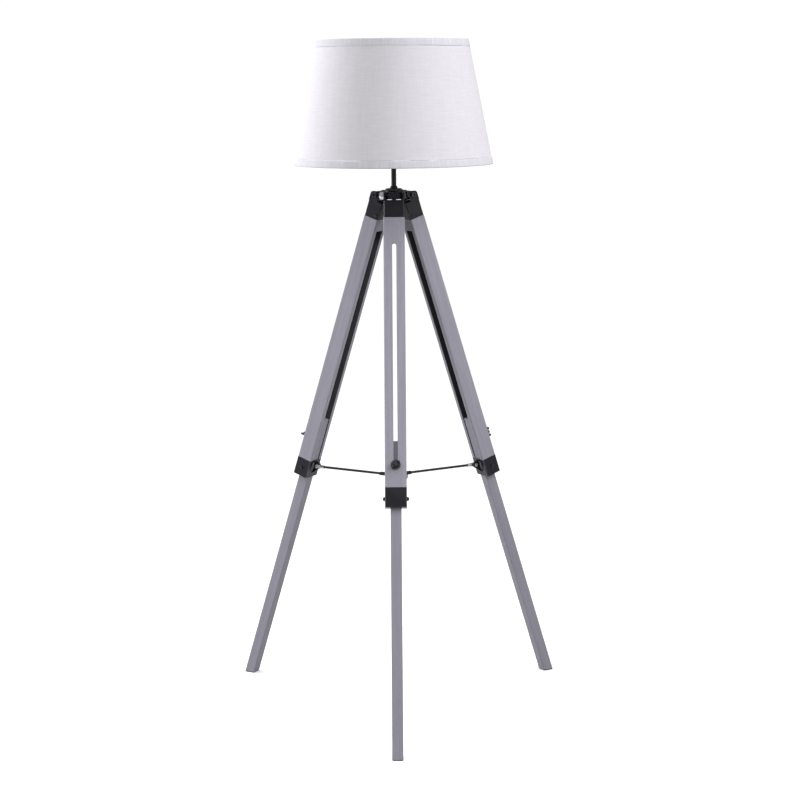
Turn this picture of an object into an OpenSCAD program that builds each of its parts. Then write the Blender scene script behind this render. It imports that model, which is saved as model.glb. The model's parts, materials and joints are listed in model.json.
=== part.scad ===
// Tripod floor lamp: three telescoping timber legs hinged on a steel hub, a braced spreader,
// a lamp pipe with socket and bulb, and a tapered drum shade. Millimetres, +Z up.

/* [Show] */
// Which sub-part to show, or all of them

/* [Stance] */
// Lean of each leg from the vertical with the feet fully spread
leg_lean = 18.4; // [16:0.1:20]
// Height of the hub hinge bolts above the floor
hinge_z = 1041.5; // [1000:0.5:1080]
// Distance of each hinge bolt from the lamp's axis
hinge_r = 32; // [31:0.5:36]

/* [Upper leg] */
// Width of the leg timber
leg_w = 42; // [38:0.5:46]
// Depth of the leg timber, outer face to inner face
leg_d = 32; // [28:0.5:36]
// Distance of the outer face outside the hinge bolt
leg_out = 11; // [9:0.5:13]
// Distance below the hinge bolt where the bare timber starts
wood_top = 46.5; // [44:0.5:50]
// Distance below the hinge bolt where the bare timber ends
wood_end = 580; // [560:1:600]
// Distance below the hinge bolt where the guide groove starts
groove_top = 71; // [65:1:80]
// Width of the clamp bolt's slot through the outer web
slot_w = 8; // [7:0.1:9]
// Distance below the hinge bolt of the slot's upper end
slot_top = 97.6; // [90:0.2:110]

/* [Lower leg] */
// Width of the sliding lower leg
low_w = 21.3; // [20:0.1:22]
// Depth of the sliding lower leg
low_d = 21.8; // [20:0.1:23]
// Distance of the lower leg's outer face outside the hinge bolt
low_out = 2.4; // [2:0.1:3]
// Distance below the hinge bolt of the lower leg's top end
low_top = 489.3; // [480:0.1:500]
// Distance below the hinge bolt of the clamp bolt
clamp_z = 536.5; // [530:0.5:545]
// Running gap around the lower leg on each side
slide_gap = 0.4; // [0.3:0.05:0.6]
// Thickness of the foot pad
pad_t = 2; // [1.5:0.1:3]

/* [Bracket and sleeve] */
// Outside width of the top bracket
bracket_w = 40; // [38:0.5:42]
// Sheet thickness of the top bracket
bracket_t = 2.5; // [2:0.1:3]
// Distance below the hinge bolt of the bracket's box
web_top = 12.2; // [12:0.1:14]
// Distance below the hinge bolt of the bracket's outer web
web_out_top = 11.4; // [11:0.1:12]
// Height of the lower sleeve
sleeve_h = 38.5; // [34:0.5:42]
// Sheet thickness of the lower sleeve
sleeve_t = 2; // [1.5:0.1:2.5]
// Diameter of the hinge bolt's shank
hinge_d = 8; // [7:0.1:9]
// Diameter of the clamp bolt's shank
clamp_d = 6; // [5:0.1:7]

/* [Spreader] */
// Diameter of the spreader rods
rod_d = 5; // [4:0.1:6]
// Distance of each rod's inner pin from the axis
rod_in = 22; // [20:0.5:24]
// Distance of the rod pin inside the hinge bolt, square to the leg
rod_pin_x = -30; // [-32:0.5:-28]
// Distance of the rod pin below the hinge bolt, along the leg
rod_pin_z = 590; // [585:1:595]
// Sideways offset of each rod from the leg's centre plane
rod_side = 4.15; // [4:0.05:5]

/* [Hub and pipe] */
// Width of each hub arm
arm_w = 31; // [29:0.5:33]
// Underside of the hub body
hub_low = 1034.6; // [1030:0.1:1036]
// Top face of the hub arms
hub_top = 1048; // [1046:0.1:1050]
// Reach of each hub arm from the axis
arm_r = 39; // [38:0.5:40]
// Outside diameter of the lamp pipe
pipe_d = 10; // [9.5:0.1:10.5]
// Bore of the lamp pipe
pipe_bore = 7; // [6:0.1:8]
// Upper end of the lamp pipe
pipe_top = 1120; // [1110:1:1130]

/* [Shade] */
// Diameter of the shade at the top
shade_d_top = 300; // [280:1:320]
// Diameter of the shade at the bottom
shade_d_low = 396; // [380:1:420]
// Height of the shade's upper edge above the floor
shade_top = 1346; // [1320:1:1370]
// Height of the shade's lower edge above the floor
shade_low = 1102; // [1090:1:1115]
// Thickness of the shade's linen
cloth_t = 0.8; // [0.6:0.1:1.2]
// Thickness of the shade's stiff liner
liner_t = 0.7; // [0.5:0.1:1]
// Height of the folded hems
hem_h = 15; // [12:0.5:18]
// Diameter of the shade's frame wire
wire_d = 3; // [2.5:0.1:4]

/* [Hidden] */
$fn = 48;
axis_y = 90.65;                     // puts the whole lamp's box over the origin
running = 0.06;                     // radial running clearance of a shaft in its hole
apart = 0.35;                       // least gap between pieces that move past each other
snug = 0.05;                        // gap between fixed pieces
groove_w = low_w + 2 * slide_gap;
groove_floor = low_out + slide_gap;
slot_low = clamp_z + clamp_d / 2 + 0.4;   // the slot's lower end, just under the bolt
leg_in = leg_d - leg_out;           // inner face inside the hinge bolt
ear_in = bracket_w / 2 - bracket_t; // inside face of each bracket ear
bracket_screw = [-13.6, -38.6];     // x and z of the bracket's side screws
sleeve_screw = [-3, -21.6 - wood_end];   // x and z of the sleeve's side screws
leg_az = [-90, 150, 30];            // front, left, right
// The rod pin's place in the leg's upright plane
rod_r = hinge_r + rod_pin_x * cos(leg_lean) + rod_pin_z * sin(leg_lean);
rod_z = hinge_z + rod_pin_x * sin(leg_lean) - rod_pin_z * cos(leg_lean);
rod_len = rod_r - rod_in;           // between a rod's two pins
end_l = 18;                         // length of a rod's pinned end fitting
lug_t = 4;                          // sleeve lug thickness
flat_t = 3.5;                       // thickness of a rod's flattened end
fin_t = 2.4;                        // thickness of the spreader centre's fins
socket_low = 1112;
collar_z = 1143;                    // seat of the shade's fitter ring on the socket
socket_top = 1166;
fitter_d = 42;
hem_t = 0.6;

// Frame of leg i: origin on its hinge bolt, +X out through the outer face, +Z up along the leg
module on_leg(i)
    translate([0, axis_y, 0]) rotate([0, 0, leg_az[i]]) translate([hinge_r, 0, hinge_z])
        rotate([0, -leg_lean, 0]) children();

// Frame of the lamp's axis
module on_axis() translate([0, axis_y, 0]) children();

// Frame of rod i: origin on its outer pin, +X away from the lamp's axis, +Z up
module on_rod(i)
    translate([0, axis_y, 0]) rotate([0, 0, leg_az[i]]) translate([rod_r, rod_side, rod_z])
        children();

// Rectangle with eased corners, in leg section: x from a to b, y from -w/2 to w/2
module section(a, b, w, ease)
    polygon([[a + ease, -w/2], [b - ease, -w/2], [b, -w/2 + ease], [b, w/2 - ease],
        [b - ease, w/2], [a + ease, w/2], [a, w/2 - ease], [a, -w/2 + ease]]);

// Bar of that section between two distances below the hinge bolt
module bar(a, b, w, top, low, ease = 0.8)
    translate([0, 0, -low]) linear_extrude(low - top) section(a, b, w, ease);

// Shaft across the leg, along its Y
module cross_shaft(x, z, d, y0, y1)
    translate([x, y0, z]) rotate([-90, 0, 0]) cylinder(d = d, h = y1 - y0);

// Its children on side s of the leg's centre plane
module sided(s) mirror([0, s < 0 ? 1 : 0, 0]) children();

// Rectangular block between two corners
module block(p, q) translate(p) cube(q - p);

// ---- hub ----

// One hub arm with eased upright corners at its tip
module hub_arm()
    translate([0, 0, hub_low]) linear_extrude(hub_top - hub_low) {
        translate([0, -arm_w/2]) square([arm_r - 8, arm_w]);
        for (s = [-1, 1]) translate([arm_r - 8, s * (arm_w/2 - 8)]) circle(r = 8);
        translate([arm_r - 8.01, -arm_w/2 + 8]) square([8.01, arm_w - 16]);
    }

module hub_body() color("#242428") on_axis() difference() {
    union() {
        translate([0, 0, hub_low]) cylinder(d = 34, h = hub_top - hub_low);
        for (a = leg_az) rotate([0, 0, a]) {
            hub_arm();
            translate([hinge_r, 0, hinge_z]) cross_shaft(0, 0, 12, apart - ear_in, ear_in - apart);
        }
    }
    for (a = leg_az) rotate([0, 0, a]) translate([hinge_r, 0, hinge_z])
        cross_shaft(0, 0, hinge_d + 2 * snug, -leg_w, leg_w);
    translate([0, 0, hub_low - 1]) cylinder(d = pipe_d + 2 * snug, h = 30);
}

module hub_cap() color("#242428") on_axis() difference() {
    union() {
        translate([0, 0, hub_top + snug]) cylinder(d = 39, h = 2.4);
        translate([0, 0, hub_top + 2.4]) cylinder(d1 = 38, d2 = 30, h = 3.6);
    }
    translate([0, 0, hub_top - 1]) cylinder(d = pipe_d + 2 * snug, h = 12);
}

module pipe_nut() color("#242428") on_axis() difference() {
    union() {
        translate([0, 0, hub_top + 6.1]) cylinder(d = 15, h = 2.2);
        translate([0, 0, hub_top + 8.2]) cylinder(d1 = 14.5, d2 = 12, h = 3);
    }
    translate([0, 0, hub_top]) cylinder(d = pipe_d + 2 * snug, h = 20);
}

module lamp_pipe() color("#1d1d20") on_axis() difference() {
    translate([0, 0, hub_low - 1.2]) cylinder(d = pipe_d, h = pipe_top - hub_low + 1.2);
    translate([0, 0, hub_low - 3]) cylinder(d = pipe_bore, h = pipe_top - hub_low + 6);
}

module cord_bush() color("#18181a") on_axis() difference() {
    union() {
        translate([0, 0, hub_low - 4]) cylinder(d = 8.6, h = 2.7);
        translate([0, 0, hub_low - 4]) cylinder(d = pipe_bore - 2 * snug, h = 9);
    }
    translate([0, 0, hub_low - 5]) cylinder(d = 5.2, h = 12);
}

// ---- socket and bulb ----

module socket_cap() color("#1a1a1c") on_axis() difference() {
    union() {
        translate([0, 0, socket_low]) cylinder(d1 = 22, d2 = 39, h = 8);
        translate([0, 0, socket_low + 7.9]) cylinder(d = 39, h = 9);
    }
    translate([0, 0, socket_low + 8.5]) cylinder(d = 34, h = 20);
    translate([0, 0, socket_low - 1]) cylinder(d = pipe_d + 2 * snug, h = 12);
}

module socket_shell() color("#202022") on_axis() difference() {
    union() {
        translate([0, 0, socket_low + 17.1]) cylinder(d = 39, h = collar_z - socket_low - 17.1);
        translate([0, 0, collar_z - 4]) cylinder(d = 48, h = 4);
        translate([0, 0, collar_z - 1]) cylinder(d = 40, h = socket_top - collar_z + 1);
    }
    translate([0, 0, socket_low + 22]) cylinder(d = 28, h = 60);
    translate([0, 0, socket_low + 10]) cylinder(d = 12, h = 20);
}

module socket_ring() color("#202022") on_axis() difference() {
    translate([0, 0, collar_z + 2.3]) cylinder(d = 54, h = 9);
    translate([0, 0, collar_z]) cylinder(d = 40.2, h = 20);
}

module socket_contact() color("#c8a85a") on_axis()
    translate([0, 0, socket_low + 18]) cylinder(d = 11.8, h = 6);

module bulb_base() color("#c9c9cc") on_axis() {
    translate([0, 0, socket_low + 24.1]) cylinder(d = 10, h = 2.5);
    translate([0, 0, socket_low + 26.5]) cylinder(d1 = 14, d2 = 25.8, h = 4);
    for (k = [0:3]) translate([0, 0, socket_low + 30.4 + k * 5]) {
        cylinder(d1 = 25.2, d2 = 26.4, h = 2.6);
        translate([0, 0, 2.5]) cylinder(d1 = 26.4, d2 = 25.2, h = 2.6);
    }
}

module bulb_glass() color([1, 1, 1, 0.9]) on_axis() translate([0, 0, socket_low + 50.6])
    rotate_extrude($fn = 64) polygon([[0, 0], [13, 0], [13.6, 8], [16, 18], [20.5, 28], [25.5, 38],
        [28.8, 48], [30, 58], [29.2, 67], [26.4, 76], [21.6, 83], [15, 88.2], [8, 91], [0, 92]]);

// ---- shade ----

// Outside radius of the linen at height z
function shade_r(z) = (shade_d_low + (shade_d_top - shade_d_low) * (z - shade_low)
    / (shade_top - shade_low)) / 2 - hem_t;

// Conical band of the shade between z0 and z1, from skin a inside the linen's face to skin b
module band(z0, z1, a, b) on_axis() rotate_extrude($fn = 144)
    polygon([[shade_r(z0) - b, z0], [shade_r(z0) - a, z0], [shade_r(z1) - a, z1],
        [shade_r(z1) - b, z1]]);

module shade_cloth() color("#eeeef2") band(shade_low + 0.6, shade_top - 0.6, 0, cloth_t);

module shade_liner() color("#fafafa")
    band(shade_low + 0.6, shade_top - 0.6, cloth_t + snug, cloth_t + snug + liner_t);

// Folded hem: outside strip with a lip over the shade's raw edge
module hem(z0, z1, lip) {
    band(z0, z1, -hem_t, -0.03);
    band(lip, lip + 0.55, -0.1, cloth_t + liner_t + 0.4);
}

module shade_hem_top() color("#e6e6ea") hem(shade_top - hem_h, shade_top, shade_top - 0.55);
module shade_hem_bottom() color("#e6e6ea") hem(shade_low, shade_low + hem_h, shade_low);

module wire_ring(r, z) on_axis() translate([0, 0, z])
    rotate_extrude($fn = 96) translate([r, 0]) circle(d = wire_d, $fn = 16);

// Radius of the frame rings just inside the liner
function ring_r(z) = shade_r(z) - cloth_t - liner_t - wire_d / 2 - 0.35;

module shade_ring_top() color("#f0f0f0") wire_ring(ring_r(shade_top - 3), shade_top - 3);
module shade_ring_bottom() color("#f0f0f0") wire_ring(ring_r(shade_low + 3), shade_low + 3);

// Fitter ring on the socket's collar with three spokes down to the bottom frame ring
module shade_fitter() color("#f0f0f0") on_axis() {
    difference() {
        translate([0, 0, collar_z + 0.1]) cylinder(d = 53, h = 2);
        translate([0, 0, collar_z - 1]) cylinder(d = fitter_d, h = 6);
    }
    for (a = [30, 150, 270]) rotate([0, 0, a]) {
        dx = ring_r(shade_low + 3) - wire_d / 2 - 25.4;
        dz = shade_low + 3 - collar_z - 1.2;
        translate([25.4, 0, collar_z + 1.2]) rotate([0, atan2(dx, dz), 0])
            cylinder(d = wire_d - 0.4, h = norm([dx, dz]), $fn = 20);
    }
}

// ---- one leg, drawn in its own frame ----

// Ear of the bracket round the hinge bolt, notched clear of the hub below its inner edge
module ear(y0) translate([0, y0 + bracket_t, 0]) rotate([90, 0, 0]) linear_extrude(bracket_t)
    polygon([[leg_out, -web_top - 1], [leg_out, 0.5], [leg_out - 0.7, 3.2], [leg_out - 2.6, 5.2],
        [leg_out - 5.2, 6.2], [-8, 10.2], [-10.6, 9.4], [-11.8, 7], [-12, 1.5], [-8.4, -4],
        [-8, -web_top - 1]]);

module bracket() color("#2a2a2e") difference() {
    union() {
        bar(-leg_in, leg_out, bracket_w, web_top, wood_top, 1.5);
        ear(-bracket_w/2);
        ear(ear_in);
        block([leg_out - bracket_t, -ear_in - 0.1, -web_top - 1], [leg_out, ear_in + 0.1, -web_out_top]);
    }
    bar(-leg_in + bracket_t, leg_out - bracket_t, 2 * ear_in, web_top - 1, wood_top + 1, 0.4);
    cross_shaft(0, 0, hinge_d + 2 * running, -leg_w, leg_w);
    cross_shaft(bracket_screw[0], bracket_screw[1], 3, -leg_w, leg_w);
}

// Pan-head screw along Y with its head outside y = 0 and its shank inwards
module pan_screw(head_d, head_h, shank_d, shank_l) rotate([-90, 0, 0]) {
    slot = 0.15 * head_d;
    difference() {
        union() {
            translate([0, 0, -head_h * 0.45]) cylinder(d = head_d, h = head_h * 0.45, $fn = 32);
            translate([0, 0, -head_h]) cylinder(d1 = head_d * 0.55, d2 = head_d, h = head_h * 0.56,
                $fn = 32);
        }
        for (l = [[0.46 * head_d, slot], [slot, 0.46 * head_d]])
            translate([-l[0] / 2, -l[1] / 2, -head_h - 1]) cube([l[0], l[1], 1 + head_h * 0.55]);
    }
    cylinder(d = shank_d, h = shank_l, $fn = 24);
}

module bracket_screws() color("#1c1c1e")
    for (s = [-1, 1]) sided(s)
        translate([bracket_screw[0], -bracket_w/2 - snug, bracket_screw[1]])
            pan_screw(6, 1.8, 2.8, bracket_t + 9);

// Hinge bolt: shank through the ears, low head on side s
module hinge_bolt(s) color("#1c1c1e") sided(s) {
    cross_shaft(0, 0, hinge_d, -bracket_w/2 - 10.5, bracket_w/2 + apart);
    translate([0, bracket_w/2 + apart - 0.05, 0]) rotate([-90, 0, 0]) {
        cylinder(d = 12.5, h = 1.2);
        difference() {
            translate([0, 0, 1.15]) cylinder(d1 = 12.5, d2 = 9, h = 2.6);
            translate([0, 0, 1.6]) cylinder(d = 5.8, h = 4, $fn = 6);
        }
    }
}

// Locking nut on the bolt's other end
module hinge_nut(s) color("#b9bbc0") sided(s) difference() {
    union() {
        translate([0, -bracket_w/2 - apart, 0]) rotate([90, 30, 0])
            cylinder(d = 15, h = 6.4, $fn = 6);
        translate([0, -bracket_w/2 - apart - 6.3, 0]) rotate([90, 0, 0])
            cylinder(d1 = 12.6, d2 = 10.8, h = 2);
    }
    cross_shaft(0, 0, hinge_d + 2 * snug, -leg_w, 0);
}

// Timber channel: groove down the inner face, slot through the outer web, necks for the steelwork
module upper_leg() color("#9b9ba4") difference() {
    union() {
        bar(-leg_in, leg_out, leg_w, wood_top + snug, wood_end - snug, 1.2);
        bar(-leg_in + bracket_t + snug, leg_out - bracket_t - snug,
            2 * ear_in - 2 * snug, web_top + 2, wood_top + 0.1, 0.6);
        bar(-leg_in + sleeve_t + snug, leg_out - sleeve_t - snug,
            leg_w - 2 * sleeve_t - 2 * snug, wood_end - 0.1, wood_end + 24, 0.6);
    }
    block([-leg_in - 1, -groove_w/2, -wood_end - 30], [groove_floor, groove_w/2, -groove_top]);
    block([0, -slot_w/2, -slot_low + slot_w/2], [leg_out + 1, slot_w/2, -slot_top - slot_w/2]);
    for (z = [slot_top + slot_w/2, slot_low - slot_w/2])
        translate([0, 0, -z]) rotate([0, 90, 0]) cylinder(d = slot_w, h = leg_out + 1);
    for (s = [-1, 1]) sided(s) {
        cross_shaft(bracket_screw[0], bracket_screw[1], 2.9, -leg_w/2, -leg_w/2 + 14);
        cross_shaft(sleeve_screw[0], sleeve_screw[1], 3.4, -leg_w/2, -leg_w/2 + 8);
    }
}

// Steel box over the timber's lower end: guide hole below, window and rod lug on its inner face
module sleeve() color("#2a2a2e") {
    e = 0.2;
    difference() {
        bar(-leg_in - e, leg_out + e, leg_w + 2 * e, wood_end, wood_end + sleeve_h, 1.1);
        bar(-leg_in + sleeve_t, leg_out - sleeve_t, leg_w - 2 * sleeve_t, wood_end - 1,
            wood_end + sleeve_h - sleeve_t, 0.3);
        block([low_out - low_d - slide_gap, -groove_w/2, -wood_end - sleeve_h - 1],
            [groove_floor, groove_w/2, -wood_end + 1]);
        block([-leg_in - 1, -9, -wood_end - 27], [-leg_in + sleeve_t + 1, 9, -wood_end - 4]);
        cross_shaft(sleeve_screw[0], sleeve_screw[1], 3.5, -leg_w, leg_w);
    }
    difference() {
        translate([0, lug_t/2, 0]) rotate([90, 0, 0]) linear_extrude(lug_t)
            polygon([[-leg_in, -wood_end - 1.5], [-leg_in - 3, -wood_end - 2], [-33, -583.5],
                [-35.6, -586.4], [-36, -590], [-35, -593.6], [-32.4, -596.6],
                [-leg_in, -wood_end - 31]]);
        cross_shaft(rod_pin_x, -rod_pin_z, 4 + 2 * running, -lug_t, lug_t);
    }
}

module sleeve_screws() color("#1c1c1e")
    for (s = [-1, 1]) sided(s) translate([sleeve_screw[0], -leg_w/2 - 0.25, sleeve_screw[1]])
        pan_screw(8, 4.4, 3.3, 6);

module lower_leg(i) color("#97979f") intersection() {
    on_leg(i) difference() {
        bar(low_out - low_d, low_out, low_w, low_top, 1130, 0.8);
        translate([-16, 0, -clamp_z]) rotate([0, 90, 0]) cylinder(d = clamp_d + 0.1, h = 30);
    }
    translate([-600, -600, pad_t]) cube([1200, 1200, 1000]);
}

// Foot pad under the level cut of the lower leg
module foot_pad(i) color("#1a1a1c") intersection() {
    on_leg(i) bar(low_out - low_d + 0.6, low_out - 0.6, low_w - 1.2, low_top, 1130, 0.8);
    translate([-600, -600, 0]) cube([1200, 1200, pad_t - snug]);
}

// Clamp bolt fixed in the lower leg, with the washer that bears on the upper leg
module clamp_bolt() color("#1c1c1e") translate([0, 0, -clamp_z]) rotate([0, 90, 0]) {
    translate([0, 0, -15.5]) cylinder(d = clamp_d, h = 15.5 + leg_out + 12.5);
    difference() {
        translate([0, 0, leg_out + 0.32]) cylinder(d = 19, h = 1.5);
        translate([0, 0, leg_out]) cylinder(d = clamp_d + 0.1, h = 4);
    }
}

// Wing nut turned by a degrees from the crosswise position
module wing_nut(a) color("#1f1f22") translate([leg_out + 2.2, 0, -clamp_z]) rotate([a, 0, 0])
    difference() {
        union() {
            rotate([0, 90, 0]) cylinder(d1 = 11.5, d2 = 9, h = 8);
            for (s = [-1, 1]) sided(s) translate([0, 0, -1.5]) linear_extrude(3)
                polygon([[0.8, 2], [0.8, 4.6], [4, 7.6], [7.2, 9.6], [9.8, 10.2], [11.8, 9.4],
                    [12.4, 7.6], [11.6, 5.8], [9.4, 4.6], [7.6, 3.6], [6.6, 2]]);
        }
        rotate([0, 90, 0]) translate([0, 0, -1]) cylinder(d = clamp_d + 2 * running, h = 20);
    }

// ---- spreader, drawn in the rod frame ----

// Plated end fitting: flat eye, ferrule and the pin through the sleeve's lug
module rod_end() color("#b9bbc0") {
    rotate([90, 0, 0]) translate([0, 0, -flat_t/2]) linear_extrude(flat_t) {
        circle(d = 8.5);
        translate([-10, -3.4]) square([10, 6.8]);
    }
    translate([-9, 0, 0]) rotate([0, -90, 0]) cylinder(d = 6.6, h = end_l - 9, $fn = 32);
    translate([0, -rod_side - lug_t/2 - 2.2, 0]) rotate([-90, 0, 0]) {
        cylinder(d = 4, h = rod_side + lug_t/2 + 3, $fn = 32);
        cylinder(d = 7.4, h = 1.8, $fn = 32);
    }
}

// Steel rod with its inner end flattened beside the spreader centre's fin
module rod() color("#2a2a2e") {
    translate([-end_l - snug, 0, 0]) rotate([0, -90, 0])
        cylinder(d = rod_d, h = rod_len - end_l - 13, $fn = 32);
    rotate([90, 0, 0]) translate([0, 0, -flat_t/2]) linear_extrude(flat_t) {
        translate([-rod_len, 0]) circle(d = 7);
        translate([-rod_len, -3.5]) square([12, 7]);
        polygon([[-rod_len + 11.9, -3.5], [-rod_len + 16, -2.5], [-rod_len + 16, 2.5],
            [-rod_len + 11.9, 3.5]]);
    }
    translate([-rod_len, flat_t/2 - 0.1, 0]) rotate([-90, 0, 0])
        cylinder(d1 = 6, d2 = 4, h = 1.6, $fn = 32);
}

// Three-finned centre piece: low boss on the axis, one upright fin beside each rod
module spreader_centre() color("#2a2a2e") on_axis() translate([0, 0, rod_z]) {
    translate([0, 0, -13.4]) cylinder(d = 12, h = 4.8);
    for (a = leg_az) rotate([0, 0, a]) translate([0, fin_t/2, 0]) rotate([90, 0, 0])
        linear_extrude(fin_t) polygon([[0, -13], [22, -13], [25.6, -9], [26, 1], [24.5, 3.4],
            [22, 4], [19.5, 3.4], [18, 1], [16, -9], [0, -9]]);
}

// ---- the lamp ----

hub_body();
hub_cap();
pipe_nut();
lamp_pipe();
cord_bush();
socket_cap();
socket_shell();
socket_ring();
socket_contact();
bulb_base();
bulb_glass();
shade_fitter();
shade_ring_top();
shade_ring_bottom();
shade_liner();
shade_cloth();
shade_hem_top();
shade_hem_bottom();
on_leg(0) bracket();  // bracket_front
on_leg(1) bracket();  // bracket_left
on_leg(2) bracket();  // bracket_right
on_leg(0) bracket_screws();  // bracket_screws_front
on_leg(1) bracket_screws();  // bracket_screws_left
on_leg(2) bracket_screws();  // bracket_screws_right
on_leg(0) hinge_bolt(1);  // hinge_bolt_front
on_leg(1) hinge_bolt(1);  // hinge_bolt_left
on_leg(2) hinge_bolt(-1);  // hinge_bolt_right
on_leg(0) hinge_nut(1);  // hinge_nut_front
on_leg(1) hinge_nut(1);  // hinge_nut_left
on_leg(2) hinge_nut(-1);  // hinge_nut_right
on_leg(0) upper_leg();  // upper_leg_front
on_leg(1) upper_leg();  // upper_leg_left
on_leg(2) upper_leg();  // upper_leg_right
on_leg(0) sleeve();  // sleeve_front
on_leg(1) sleeve();  // sleeve_left
on_leg(2) sleeve();  // sleeve_right
on_leg(0) sleeve_screws();  // sleeve_screws_front
on_leg(1) sleeve_screws();  // sleeve_screws_left
on_leg(2) sleeve_screws();  // sleeve_screws_right
lower_leg(0);  // lower_leg_front
lower_leg(1);  // lower_leg_left
lower_leg(2);  // lower_leg_right
foot_pad(0);  // foot_pad_front
foot_pad(1);  // foot_pad_left
foot_pad(2);  // foot_pad_right
on_leg(0) clamp_bolt();  // clamp_bolt_front
on_leg(1) clamp_bolt();  // clamp_bolt_left
on_leg(2) clamp_bolt();  // clamp_bolt_right
on_leg(0) wing_nut(42);  // wing_nut_front
on_leg(1) wing_nut(0);  // wing_nut_left
on_leg(2) wing_nut(90);  // wing_nut_right
on_rod(0) rod();  // rod_front
on_rod(1) rod();  // rod_left
on_rod(2) rod();  // rod_right
on_rod(0) rod_end();  // rod_end_front
on_rod(1) rod_end();  // rod_end_left
on_rod(2) rod_end();  // rod_end_right
spreader_centre();
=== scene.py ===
"""Looks of the tripod floor lamp: linen shade, painted timber legs, powder-coated steelwork."""

import json
import math

import bpy
import numpy as np
from mathutils import Matrix, Vector, noise


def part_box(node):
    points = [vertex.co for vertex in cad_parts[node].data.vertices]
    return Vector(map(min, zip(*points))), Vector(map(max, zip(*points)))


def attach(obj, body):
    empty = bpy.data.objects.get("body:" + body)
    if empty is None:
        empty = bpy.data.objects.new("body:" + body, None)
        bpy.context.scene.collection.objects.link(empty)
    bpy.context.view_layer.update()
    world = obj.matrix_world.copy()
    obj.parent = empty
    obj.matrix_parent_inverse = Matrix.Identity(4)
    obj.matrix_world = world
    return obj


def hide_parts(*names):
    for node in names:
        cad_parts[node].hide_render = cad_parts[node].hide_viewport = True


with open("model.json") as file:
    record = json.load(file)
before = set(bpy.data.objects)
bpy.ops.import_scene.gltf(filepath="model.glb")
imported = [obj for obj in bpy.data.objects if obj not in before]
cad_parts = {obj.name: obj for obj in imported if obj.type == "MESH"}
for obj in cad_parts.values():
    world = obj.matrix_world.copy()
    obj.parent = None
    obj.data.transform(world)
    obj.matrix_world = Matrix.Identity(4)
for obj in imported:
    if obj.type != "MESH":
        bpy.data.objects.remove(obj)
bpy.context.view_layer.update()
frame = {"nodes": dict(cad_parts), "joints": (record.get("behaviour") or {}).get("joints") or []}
nodes = frame["nodes"]
joints = {j["name"]: j for j in frame["joints"]}
SIDES = ("front", "left", "right")
MM = 0.001


# ---- places, all from the frame ----

def middle(node):
    low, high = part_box(node)
    return (low + high) / 2


AXIS = middle("lamp_pipe").xy                       # the lamp's upright axis
SHADE_LOW, SHADE_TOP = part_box("shade_hem_bottom")[0].z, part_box("shade_hem_top")[1].z


def leg_frame(side):
    """4x4 matrix of a leg's frame: origin on its hinge bolt, +X out, +Y across, +Z up the leg."""
    fold, slide = joints[f"{side}_leg_fold"], joints[f"{side}_leg_height"]
    up, across = Vector(slide["axis"]).normalized(), Vector(fold["axis"]).normalized()
    out = across.cross(up).normalized()
    origin = Vector(fold["pos_m"])
    if out.dot(Vector((origin.x - AXIS.x, origin.y - AXIS.y, 0))) < 0:
        out = -out
    m = Matrix((out, up.cross(out), up)).transposed().to_4x4()
    m.translation = origin
    return m


LEG = {s: leg_frame(s) for s in SIDES}


# ---- node helpers ----

class Graph:
    """Short way to wire a material's nodes. A socket's value is a number, a colour or an output."""

    def __init__(self, name):
        self.material = bpy.data.materials.new(name)
        self.material.use_nodes = True
        self.tree = self.material.node_tree
        self.bsdf = self.tree.nodes["Principled BSDF"]

    def put(self, node, socket, value):
        target = node.inputs[socket]
        if isinstance(value, bpy.types.NodeSocket):
            self.tree.links.new(value, target)
        elif value is not None:
            target.default_value = value

    def add(self, kind, sockets=None, **settings):
        node = self.tree.nodes.new("ShaderNode" + kind)
        for key, value in settings.items():
            setattr(node, key, value)
        for socket, value in (sockets or {}).items():
            self.put(node, socket, value)
        return node

    def shader(self, **sockets):
        for socket, value in sockets.items():
            self.put(self.bsdf, socket.replace("_", " "), value)

    def place(self, matrix):
        """Object coordinates carried into the frame that matrix stands for, in metres."""
        inverse = matrix.inverted()
        at = self.add("TexCoord").outputs["Object"]
        moved = self.add("Mapping", {"Vector": at, "Location": inverse.translation,
                                     "Rotation": inverse.to_euler("XYZ")})
        return moved.outputs[0]

    def stretch(self, at, scale):
        return self.add("VectorMath", {0: at, 1: scale}, operation="MULTIPLY").outputs[0]

    def noise(self, at, scale, detail=3.0, rough=0.55, distortion=0.0):
        node = self.add("TexNoise", {"Vector": at, "Scale": scale, "Detail": detail,
                                     "Roughness": rough, "Distortion": distortion})
        return node.outputs["Fac"]

    def ramp(self, fac, stops):
        node = self.add("ValToRGB", {"Fac": fac})
        ramp = node.color_ramp
        while len(ramp.elements) < len(stops):
            ramp.elements.new(0.5)
        for element, (place, colour) in zip(ramp.elements, stops):
            element.position = place
            element.color = colour if hasattr(colour, "__len__") else (colour,) * 3 + (1,)
        return node.outputs[0]

    def spread(self, fac, low, high, to_low, to_high):
        node = self.add("MapRange", {0: fac, 1: low, 2: high, 3: to_low, 4: to_high})
        return node.outputs[0]

    def math(self, operation, a, b=None):
        node = self.add("Math", {0: a}, operation=operation)
        if b is not None:
            self.put(node, 1, b)
        return node.outputs[0]

    def mix(self, fac, a, b, blend="MIX"):
        node = self.add("Mix", {}, data_type="RGBA", blend_type=blend)
        for socket, value in ((0, fac), (6, a), (7, b)):
            self.put(node, socket, value)
        return node.outputs[2]

    def bump(self, height, strength, distance, under=None):
        node = self.add("Bump", {"Height": height, "Strength": strength, "Distance": distance})
        if under is not None:
            self.put(node, "Normal", under)
        return node.outputs[0]


def rgb(r, g, b):
    return (r, g, b, 1.0)


# ---- materials ----

# The groove of an upper leg in the leg's frame, where its painted shade goes: half its width, and its
# walls' reach inward and outward
GROOVE_HALF, GROOVE_IN, GROOVE_OUT = 11.25 * MM, -20.8 * MM, 2.95 * MM


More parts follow.
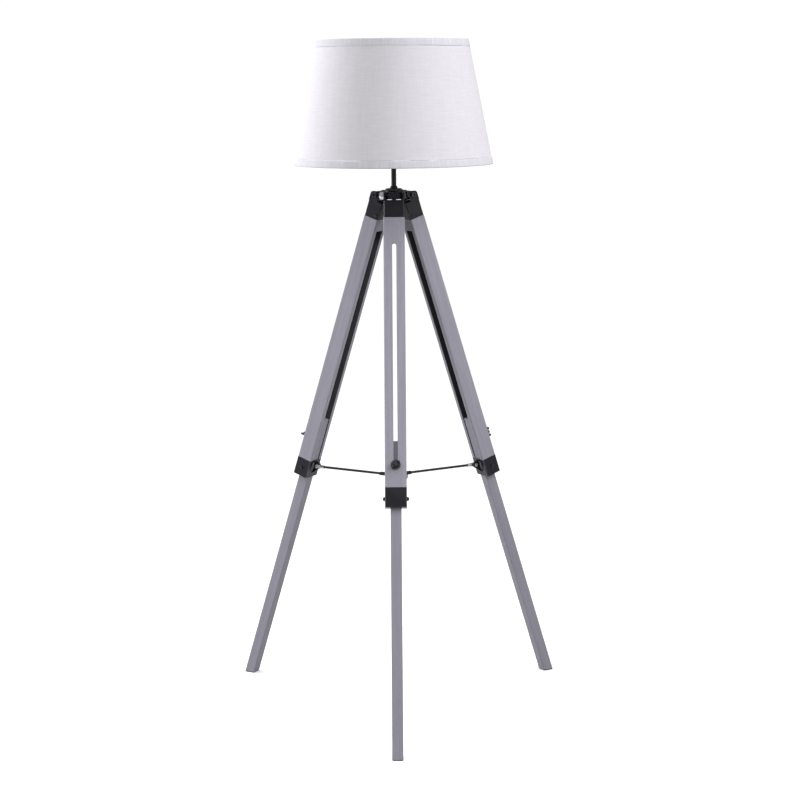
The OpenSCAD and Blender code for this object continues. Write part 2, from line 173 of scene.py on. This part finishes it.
def timber(name, side, tone, grooved=False):
    """Matt grey-lilac paint on open-pored timber, with the grain running down the leg. A grooved leg's
    groove walls are painted near-black: painted shade for the deep groove. tone scales every paint
    colour."""
    def shade(r, g, b):
        return rgb(r * tone, g * tone, b * tone)

    g = Graph(name)
    at = g.place(LEG[side])
    streaks = g.noise(g.stretch(at, (160, 160, 5)), 1.0, 4, 0.6, 0.3)
    figure = g.noise(g.stretch(at, (38, 38, 1.6)), 1.0, 3, 0.5, 0.8)
    pores = g.noise(g.stretch(at, (1400, 1400, 55)), 1.0, 2, 0.6)
    cloud = g.noise(at, 9.0, 3, 0.5)
    base = g.ramp(streaks, [(0.28, shade(0.248, 0.240, 0.285)), (0.72, shade(0.312, 0.308, 0.366))])
    base = g.mix(g.spread(figure, 0.35, 0.65, 0.0, 0.45), base, shade(0.280, 0.275, 0.326))
    base = g.mix(g.spread(cloud, 0.3, 0.7, 0.0, 0.22), base, shade(0.320, 0.316, 0.370))
    fine = g.noise(g.stretch(at, (620, 620, 12)), 1.0, 3, 0.6)
    base = g.mix(g.spread(fine, 0.5, 0.72, 0.0, 0.4), base, shade(0.232, 0.212, 0.222))
    base = g.mix(g.spread(pores, 0.62, 0.74, 0.0, 0.5), base, shade(0.165, 0.152, 0.165))
    # The groove walls are painted near-black: painted shade standing in for the shadow deep in the
    # groove.
    if grooved:
        along = g.add("SeparateXYZ", {"Vector": at})
        groove_shade_mask = g.math("LESS_THAN", g.math("ABSOLUTE", along.outputs[1]), GROOVE_HALF)
        groove_shade_mask = g.math("MULTIPLY", groove_shade_mask, g.math("GREATER_THAN", along.outputs[0], GROOVE_IN))
        groove_shade_mask = g.math("MULTIPLY", groove_shade_mask, g.math("LESS_THAN", along.outputs[0], GROOVE_OUT))
        painted_groove_shade = g.mix(streaks, rgb(0.018, 0.017, 0.019), rgb(0.045, 0.042, 0.046))
        base = g.mix(groove_shade_mask, base, painted_groove_shade)
    relief = g.bump(pores, 0.22, 0.0004, g.bump(streaks, 0.25, 0.0006))
    g.shader(Base_Color=base, Roughness=g.spread(streaks, 0.3, 0.7, 0.52, 0.64),
             Specular_IOR_Level=0.32, Normal=relief)
    return g.material


def powder_coat():
    """Satin black powder coat: fine orange peel, thin grey rub in worn spots."""
    g = Graph("powder_coat")
    at = g.add("TexCoord").outputs["Object"]
    peel = g.noise(at, 950.0, 2, 0.5)
    cloud = g.noise(at, 55.0, 4, 0.6)
    rub = g.spread(g.noise(at, 420.0, 5, 0.7), 0.66, 0.8, 0.0, 0.35)
    base = g.mix(cloud, rgb(0.0056, 0.0044, 0.0082), rgb(0.0096, 0.0078, 0.0132))
    base = g.mix(rub, base, rgb(0.085, 0.083, 0.09))
    g.shader(Base_Color=base, Roughness=g.spread(cloud, 0.3, 0.7, 0.36, 0.5),
             Specular_IOR_Level=0.2, Normal=g.bump(peel, 0.3, 0.0002))
    return g.material


def black_oxide():
    """Oiled black bolts with brighter worn metal in patches."""
    g = Graph("black_oxide")
    at = g.add("TexCoord").outputs["Object"]
    cloud = g.noise(at, 300.0, 4, 0.6)
    base = g.mix(g.spread(cloud, 0.35, 0.8, 0.0, 1.0), rgb(0.014, 0.014, 0.016), rgb(0.05, 0.05, 0.055))
    g.shader(Base_Color=base, Metallic=0.6, Roughness=g.spread(cloud, 0.3, 0.7, 0.28, 0.45),
             Normal=g.bump(g.noise(at, 1500.0, 2), 0.15, 0.0001))
    return g.material


def worn_edge_and_highlight():
    """Powder coat rubbed thin along a folded edge, steel in patches, all lighter as a painted edge
    highlight.
    """
    g = Graph("worn_edge_and_highlight")
    at = g.add("TexCoord").outputs["Object"]
    patch = g.noise(at, 130.0, 4, 0.65)
    # edge colour is rubbed wear plus a painted highlight: even its darkest patches are lighter than the
    # coat
    base = g.mix(g.spread(patch, 0.38, 0.62, 0.0, 1.0),
                 rgb(0.035, 0.034, 0.040), rgb(0.20, 0.20, 0.215))
    g.shader(Base_Color=base, Metallic=0.35, Roughness=g.spread(patch, 0.3, 0.7, 0.3, 0.45),
             Specular_IOR_Level=0.6, Normal=g.bump(g.noise(at, 900.0, 2), 0.15, 0.0001))
    return g.material


def zinc(name, low, high):
    """Zinc plate with a faint drawn grain and milky patches."""
    g = Graph(name)
    at = g.add("TexCoord").outputs["Object"]
    cloud = g.noise(at, 240.0, 4, 0.6)
    drawn = g.noise(g.stretch(at, (900, 900, 90)), 1.0, 2)
    g.shader(Base_Color=g.mix(cloud, low, high), Metallic=1.0,
             Roughness=g.spread(cloud, 0.3, 0.7, 0.24, 0.4),
             Normal=g.bump(drawn, 0.15, 0.0001))
    return g.material


def moulded(name, low, high, rough, grain=700.0):
    """Moulded plastic or rubber with a fine spark-eroded texture."""
    g = Graph(name)
    at = g.add("TexCoord").outputs["Object"]
    fine, cloud = g.noise(at, grain, 3, 0.6), g.noise(at, 60.0, 3)
    g.shader(Base_Color=g.mix(cloud, low, high), Normal=g.bump(fine, 0.25, 0.0002),
             Roughness=g.spread(cloud, 0.3, 0.7, rough - 0.06, rough + 0.06))
    return g.material


def bare_metal(name, low, high, rough):
    """Bare metal with a light tarnish."""
    g = Graph(name)
    at = g.add("TexCoord").outputs["Object"]
    cloud = g.noise(at, 180.0, 4, 0.6)
    g.shader(Base_Color=g.mix(cloud, low, high), Metallic=1.0,
             Roughness=g.spread(cloud, 0.3, 0.7, rough - 0.08, rough + 0.08),
             Normal=g.bump(g.noise(at, 900.0, 2), 0.1, 0.0001))
    return g.material


def opal():
    """Frosted bulb glass with a soft inner cloud."""
    g = Graph("opal_glass")
    at = g.add("TexCoord").outputs["Object"]
    cloud = g.noise(at, 45.0, 3, 0.5)
    g.shader(Base_Color=g.mix(cloud, rgb(0.86, 0.87, 0.88), rgb(0.95, 0.95, 0.95)),
             Roughness=g.spread(cloud, 0.3, 0.7, 0.16, 0.26), Subsurface_Weight=0.25,
             Subsurface_Scale=0.01, Specular_IOR_Level=0.5)
    return g.material


def liner():
    """Pressed white lampshade card: smooth, faintly mottled."""
    g = Graph("shade_card")
    at = g.add("TexCoord").outputs["Object"]
    cloud, fine = g.noise(at, 30.0, 4, 0.6), g.noise(at, 900.0, 2)
    g.shader(Base_Color=g.mix(cloud, rgb(0.80, 0.80, 0.80), rgb(0.86, 0.86, 0.85)),
             Roughness=g.spread(cloud, 0.3, 0.7, 0.42, 0.55), Normal=g.bump(fine, 0.1, 0.0001))
    return g.material


def linen(name, low, high, thread, hem=False):
    """White linen from UV in metres: plain weave, uneven threads, short slubs both ways."""
    g = Graph(name)
    uv = g.add("UVMap").outputs[0]
    wander = g.add("TexNoise", {"Vector": uv, "Scale": 30.0, "Detail": 2.0})
    shift = g.add("VectorMath", {0: wander.outputs["Color"], 1: (0.5, 0.5, 0.5)}, operation="SUBTRACT")
    shift = g.add("VectorMath", {0: shift.outputs[0], "Scale": 0.0022}, operation="SCALE")
    at = g.add("VectorMath", {0: uv, 1: shift.outputs[0]}, operation="ADD").outputs[0]
    turns = 2 * math.pi / thread
    split = g.add("SeparateXYZ", {"Vector": at})
    warp = g.math("SINE", g.math("MULTIPLY", split.outputs[0], turns))
    weft = g.math("SINE", g.math("MULTIPLY", split.outputs[1], turns))
    weave = g.math("MULTIPLY", warp, weft)
    weft_ribs = g.noise(g.stretch(at, (40, 480, 1)), 1.0, 2, 0.6)
    warp_ribs = g.noise(g.stretch(at, (480, 40, 1)), 1.0, 2, 0.6)
    weft_bands = g.noise(g.stretch(at, (14, 200, 1)), 1.0, 2, 0.5)
    warp_bands = g.noise(g.stretch(at, (240 if hem else 200, 14, 1)), 1.0, 2, 0.5)
    slub_w = g.spread(g.noise(g.stretch(at, (55, 760, 1)), 1.0, 2, 0.5), 0.66, 0.78, 0.0, 1.0)
    slub_v = g.spread(g.noise(g.stretch(at, (760, 55, 1)), 1.0, 2, 0.5), 0.66, 0.78, 0.0, 1.0)
    dark = rgb(*(c * 0.84 for c in low[:3]))
    light = rgb(*(min(1.0, c * 1.05) for c in high[:3]))
    base = g.mix(g.spread(weft_ribs, 0.3, 0.7, 0.0, 1.0), low, high)
    base = g.mix(g.spread(warp_ribs, 0.3, 0.7, 0.75 if hem else 0.55, 0.0), base, low)
    base = g.mix(g.spread(weft_bands, 0.32, 0.68, 0.16, 0.0), base, dark)
    base = g.mix(g.spread(warp_bands, 0.32, 0.68, 0.6 if hem else 0.2, 0.0), base, dark)
    base = g.mix(g.math("MULTIPLY", slub_w, 0.6), base, light)
    base = g.mix(g.math("MULTIPLY", slub_v, 0.6), base, light)
    base = g.mix(g.spread(weave, -1.0, 1.0, 0.3, 0.0), base, dark)
    slubs = g.math("ADD", slub_w, slub_v)
    height = g.math("ADD", g.math("MULTIPLY", weave, 0.5), slubs)
    ribs = g.math("ADD", weft_ribs, warp_ribs)
    relief = g.bump(height, 0.3, 0.0003, g.bump(ribs, 0.3, 0.0004))
    g.shader(Base_Color=base, Roughness=g.spread(weft_ribs, 0.3, 0.7, 0.8, 0.92), Normal=relief,
             Specular_IOR_Level=0.25, Sheen_Weight=0.2, Sheen_Roughness=0.5)
    return g.material


def paint(material, *names):
    for name in names:
        mesh = nodes[name].data
        mesh.materials.clear()
        mesh.materials.append(material)


def sided(stem):
    return [f"{stem}_{s}" for s in SIDES]


UPPER_TONE, LOWER_TONE_PAINTED_SHADE = 1.17, 1.08      # the sliding legs' paint is darker: painted shade for the dimmer light low down
COAT = powder_coat()
OXIDE = black_oxide()
WORN_AND_HIGHLIGHT = worn_edge_and_highlight()
ZINC = zinc("zinc_plate", rgb(0.46, 0.47, 0.49), rgb(0.66, 0.67, 0.69))
DULL_ZINC = zinc("dull_zinc", rgb(0.20, 0.20, 0.21), rgb(0.34, 0.34, 0.355))
RUBBER = moulded("foot_rubber", rgb(0.016, 0.016, 0.017), rgb(0.03, 0.03, 0.031), 0.75)
PLASTIC = moulded("black_moulding", rgb(0.014, 0.014, 0.015), rgb(0.024, 0.024, 0.026), 0.42)
WIRE = moulded("white_epoxy", rgb(0.76, 0.76, 0.76), rgb(0.85, 0.85, 0.85), 0.38, 300.0)
CARD = liner()

paint(COAT, "hub_body", "hub_cap", "pipe_nut", "lamp_pipe", "spreader_centre",
      *sided("bracket"), *sided("sleeve"), *sided("rod"))
paint(OXIDE, *sided("bracket_screws"), *sided("hinge_bolt"), *sided("sleeve_screws"),
      *sided("clamp_bolt"), *sided("wing_nut"))
paint(ZINC, *sided("hinge_nut"))
paint(DULL_ZINC, *sided("rod_end"))
for side in SIDES:
    paint(timber(f"upper_timber_{side}", side, UPPER_TONE, True), f"upper_leg_{side}")
    # the lower legs' darker tone is painted shade for the weaker light near the floor
    paint(timber(f"lower_timber_{side}", side, LOWER_TONE_PAINTED_SHADE), f"lower_leg_{side}")
paint(RUBBER, *sided("foot_pad"))
paint(PLASTIC, "cord_bush", "socket_cap", "socket_shell", "socket_ring")
paint(bare_metal("brass_contact", rgb(0.62, 0.42, 0.16), rgb(0.76, 0.56, 0.26), 0.32), "socket_contact")
paint(bare_metal("lamp_cap_metal", rgb(0.62, 0.62, 0.64), rgb(0.76, 0.76, 0.78), 0.34), "bulb_base")
paint(opal(), "bulb_glass")
paint(CARD, "shade_liner")
paint(WIRE, "shade_ring_top", "shade_ring_bottom", "shade_fitter")


# ---- eased edges on steel and timber, which the light catches ----

def ease(name, width, edge=None, segments=2, angle=32):
    o = nodes[name]
    weld = o.modifiers.new("weld", "WELD")
    weld.merge_threshold = 0.00001
    bevel = o.modifiers.new("ease", "BEVEL")
    bevel.width, bevel.segments = width, segments
    bevel.limit_method, bevel.angle_limit = "ANGLE", math.radians(angle)
    bevel.harden_normals = True
    if edge:
        o.data.materials.append(edge)
        bevel.material = 1


FOLDED_EDGE, CAST_EDGE, TIMBER_EDGE = 0.6 * MM, 0.45 * MM, 0.5 * MM
# bevel strips on brackets and sleeves take the worn edge colour, which carries a painted highlight
for name in (*sided("bracket"), *sided("sleeve")):
    ease(name, FOLDED_EDGE, WORN_AND_HIGHLIGHT)
ease("hub_body", CAST_EDGE)
for name in (*sided("upper_leg"), *sided("lower_leg")):
    ease(name, TIMBER_EDGE)


# ---- shade linen and hems ----

def rim(z, tolerance=0.0002):
    """Outside radius of the linen's edge at height z, from the CAD node's own vertices."""
    return max((v.co.xy - AXIS).length for v in nodes["shade_cloth"].data.vertices
               if abs(v.co.z - z) < tolerance)


CLOTH_LOW, CLOTH_TOP = (corner.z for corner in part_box("shade_cloth"))
RIM_LOW, RIM_TOP = rim(CLOTH_LOW), rim(CLOTH_TOP)
AROUND = 320


def shade_radius(z):
    """Outside radius of the linen's cone at height z."""
    return RIM_LOW + (RIM_TOP - RIM_LOW) * (z - CLOTH_LOW) / (CLOTH_TOP - CLOTH_LOW)


def tube(name, profile, material, rides):
    """Closed ring-shaped piece swept round the lamp's axis. profile(angle) gives (radius, height) pairs
    in order round the section; UV is the arc length and the distance round the section, in metres."""
    section = profile(0.0)
    count = len(section)
    round_it = math.pi * (max(r for r, z in section) + min(r for r, z in section))
    mesh = bpy.data.meshes.new(name)
    verts, faces, uvs = [], [], []
    for i in range(AROUND):
        a = 2 * math.pi * i / AROUND + math.pi / 2
        for r, z in profile(a):
            verts.append((AXIS.x + r * math.cos(a), AXIS.y + r * math.sin(a), z))
    run = [0.0]
    for (r0, z0), (r1, z1) in zip(section, section[1:] + section[:1]):
        run.append(run[-1] + math.hypot(r1 - r0, z1 - z0))
    for i in range(AROUND):
        k = (i + 1) % AROUND
        for j in range(count):
            n = (j + 1) % count
            faces.append((i * count + j, k * count + j, k * count + n, i * count + n))
            u0, u1 = round_it * i / AROUND, round_it * (i + 1) / AROUND
            uvs += [(u0, run[j]), (u1, run[j]), (u1, run[j + 1]), (u0, run[j + 1])]
    mesh.from_pydata(verts, [], faces)
    layer = mesh.uv_layers.new(name="cloth")
    layer.data.foreach_set("uv", np.array(uvs, np.float32).ravel())
    mesh.shade_smooth()
    o = bpy.data.objects.new(name, mesh)
    bpy.context.scene.collection.objects.link(o)
    mesh.materials.append(material)
    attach(o, rides)
    return o


def ripple(angle, z, seed, size):
    """Small smooth unevenness of glued cloth."""
    p = Vector((math.cos(angle) * 3, math.sin(angle) * 3, z * 18 + seed))
    return size * noise.noise(p)


CLOTH_T = 0.8 * MM
ROWS = 60


def cloth_section(angle):
    heights = [CLOTH_LOW + (CLOTH_TOP - CLOTH_LOW) * i / ROWS for i in range(ROWS + 1)]
    outer = [(shade_radius(z) - 0.05 * MM + ripple(angle, z, 0, 0.12 * MM), z) for z in heights]
    inner = [(shade_radius(z) - CLOTH_T, z) for z in reversed(heights)]
    return outer + inner


THREAD = 1.1 * MM                        # from one thread of the weave to the next
LINEN_WHITE = (rgb(0.675, 0.66, 0.705), rgb(0.765, 0.75, 0.795))
cloth = tube("shade_linen", cloth_section, linen("slub_linen", *LINEN_WHITE, THREAD), "head")
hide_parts("shade_cloth")


def hem_section(z_edge, z_inner, seed):
    """Section of a folded tape: rounded at its free edge, wrapped over the shade's raw edge."""
    up = 1 if z_edge > z_inner else -1
    depth = abs(z_edge - z_inner)
    t = 0.56 * MM

    def section(angle):
        pts = []
        free = z_inner + up * ripple(angle, 0.3, seed, 0.5 * MM)
        for k in range(13):
            s = k / 12
            z = free + (z_edge - free) * s
            puff = 0.10 * MM * math.sin(math.pi * s)
            rounded = t * (1 - max(0.0, 1 - s * depth / (0.5 * MM)) ** 2) if s < 0.1 else t
            lip = math.sqrt(max(0.0, 1 - max(0.0, (s * depth - depth + 0.55 * MM) / (0.55 * MM)) ** 2))
            r = shade_radius(z) + 0.03 * MM + rounded * (0.35 + 0.65 * lip) + puff
            pts.append((r + ripple(angle, z, seed + 5, 0.08 * MM), z))
        top_r = shade_radius(z_edge)
        pts += [(top_r - 0.3 * MM, z_edge), (top_r - 1.7 * MM, z_edge),
                (top_r - 1.88 * MM, z_edge - up * 0.2 * MM), (top_r - 1.88 * MM, z_edge - up * 0.5 * MM)]
        pts += [(top_r + 0.03 * MM, z_edge - up * 0.55 * MM)]
        for k in range(11, -1, -1):
            z = free + (z_edge - up * 0.55 * MM - free) * k / 12
            pts.append((shade_radius(z) + 0.03 * MM, z))
        return pts if up > 0 else pts[::-1]
    return section


HEM_WHITE = (rgb(0.655, 0.643, 0.69), rgb(0.775, 0.762, 0.805))
hem_cloth = linen("hem_linen", *HEM_WHITE, THREAD, hem=True)
hem_top = tube("shade_hem_top_tape",
               hem_section(SHADE_TOP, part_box("shade_hem_top")[0].z, 3), hem_cloth, "head")
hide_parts("shade_hem_top")
hem_low = tube("shade_hem_bottom_tape",
               hem_section(SHADE_LOW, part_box("shade_hem_bottom")[1].z, 9), hem_cloth, "head")
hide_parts("shade_hem_bottom")


# ---- floor, light and camera ----

def plain(name, colour, rough):
    g = Graph(name)
    at = g.add("TexCoord").outputs["Object"]
    cloud = g.noise(at, 1.5, 2)
    faint = rgb(*(c * 0.995 for c in colour[:3]))
    g.shader(Base_Color=g.mix(cloud, colour, faint), Roughness=rough, Specular_IOR_Level=0.0)
    return g.material


FLOOR_SIZE, FLOOR_ALBEDO = 60, 0.93
bpy.ops.mesh.primitive_plane_add(size=FLOOR_SIZE, location=(0, 0, 0))
floor = bpy.context.object
floor.name = "floor"
floor.data.materials.append(plain("floor_white", rgb(*[FLOOR_ALBEDO] * 3), 0.9))
floor.visible_diffuse = False        # the dome's lower half stands for its bounce light


# Dome brightness below the horizon, just above it, added overhead and added behind the lamp
DOME_LOW, DOME_BASE, DOME_TOP, DOME_BACK = 0.18, 0.22, 1.66, 0.28
BACKDROP = 1.05                          # what the camera sees past the floor


def studio_dome():
    """Soft white studio: brighter overhead and behind the lamp. Its lower half stands for the floor's
    bounce light. The camera sees a plain white backdrop in its place."""
    world = bpy.data.worlds.new("studio")
    bpy.context.scene.world = world
    world.use_nodes = True
    tree = world.node_tree
    back = tree.nodes["Background"]
    out = tree.nodes["World Output"]
    coords = tree.nodes.new("ShaderNodeTexCoord")
    split = tree.nodes.new("ShaderNodeSeparateXYZ")
    tree.links.new(coords.outputs["Generated"], split.inputs[0])

    def calc(operation, a, b):
        n = tree.nodes.new("ShaderNodeMath")
        n.operation = operation
        for k, v in enumerate((a, b)):
            if isinstance(v, bpy.types.NodeSocket):
                tree.links.new(v, n.inputs[k])
            else:
                n.inputs[k].default_value = v
        return n.outputs[0]

    up = calc("MAXIMUM", split.outputs[2], 0.0)
    above = calc("GREATER_THAN", split.outputs[2], 0.0)
    light = calc("ADD", calc("MULTIPLY", above, DOME_BASE - DOME_LOW), DOME_LOW)
    light = calc("ADD", calc("MULTIPLY", calc("MULTIPLY", up, up), DOME_TOP), light)
    behind = calc("MULTIPLY", calc("MAXIMUM", split.outputs[1], 0.0), above)
    behind = calc("MULTIPLY", behind, DOME_BACK)
    light = calc("ADD", light, behind)
    tree.links.new(light, back.inputs["Strength"])
    back.inputs["Color"].default_value = (1, 1, 1, 1)
    clear = tree.nodes.new("ShaderNodeBackground")
    clear.inputs["Strength"].default_value = BACKDROP
    clear.inputs["Color"].default_value = (1, 1, 1, 1)
    path = tree.nodes.new("ShaderNodeLightPath")
    mix = tree.nodes.new("ShaderNodeMixShader")
    tree.links.new(path.outputs["Is Camera Ray"], mix.inputs[0])
    tree.links.new(back.outputs[0], mix.inputs[1])
    tree.links.new(clear.outputs[0], mix.inputs[2])
    tree.links.new(mix.outputs[0], out.inputs["Surface"])


studio_dome()


def softbox(name, place, target, width, height, power):
    light = bpy.data.lights.new(name, "AREA")
    light.shape, light.size, light.size_y, light.energy = "RECTANGLE", width, height, power
    o = bpy.data.objects.new(name, light)
    bpy.context.scene.collection.objects.link(o)
    o.location = place
    o.rotation_euler = (Vector(target) - Vector(place)).to_track_quat("-Z", "Y").to_euler()
    o.visible_camera = False
    return o


def beside(degrees, away, height):
    """A place round the lamp, degrees from the camera's side towards +X."""
    a = math.radians(degrees)
    return (away * math.sin(a), AXIS.y - away * math.cos(a), height)


softbox("softbox_left", beside(-100, 2.2, 1.2), (0, AXIS.y, 0.9), 0.9, 1.8, 54)
softbox("softbox_right", beside(60, 1.8, 1.8), (0, AXIS.y, 1.15), 0.8, 1.5, 24)
softbox("softbox_front", beside(5, 2.4, 1.9), (0, AXIS.y, 1.3), 1.2, 0.8, 8)

LENS_PER_SENSOR = 1913.95 / 800          # focal length over sensor width
CAMERA_AT = Vector((0.026, AXIS.y - 3.828, 1.2713))
PITCH, ROLL, PAN = math.radians(-9.56), math.radians(-0.513), math.radians(0.39 - 0.127)
camera_data = bpy.data.cameras.new("camera")
camera_data.sensor_width = 36.0
camera_data.lens = 36.0 * LENS_PER_SENSOR
camera = bpy.data.objects.new("camera", camera_data)
bpy.context.scene.collection.objects.link(camera)
camera.rotation_mode = "QUATERNION"
turn = (Matrix.Rotation(PAN, 4, "Z") @ Matrix.Rotation(math.pi / 2 + PITCH, 4, "X")
        @ Matrix.Rotation(ROLL, 4, "Z"))
camera.rotation_quaternion = turn.to_quaternion()
camera.location = CAMERA_AT
bpy.context.scene.camera = camera
bpy.context.scene.view_settings.view_transform = "Standard"
bpy.context.scene.view_settings.look = "None"
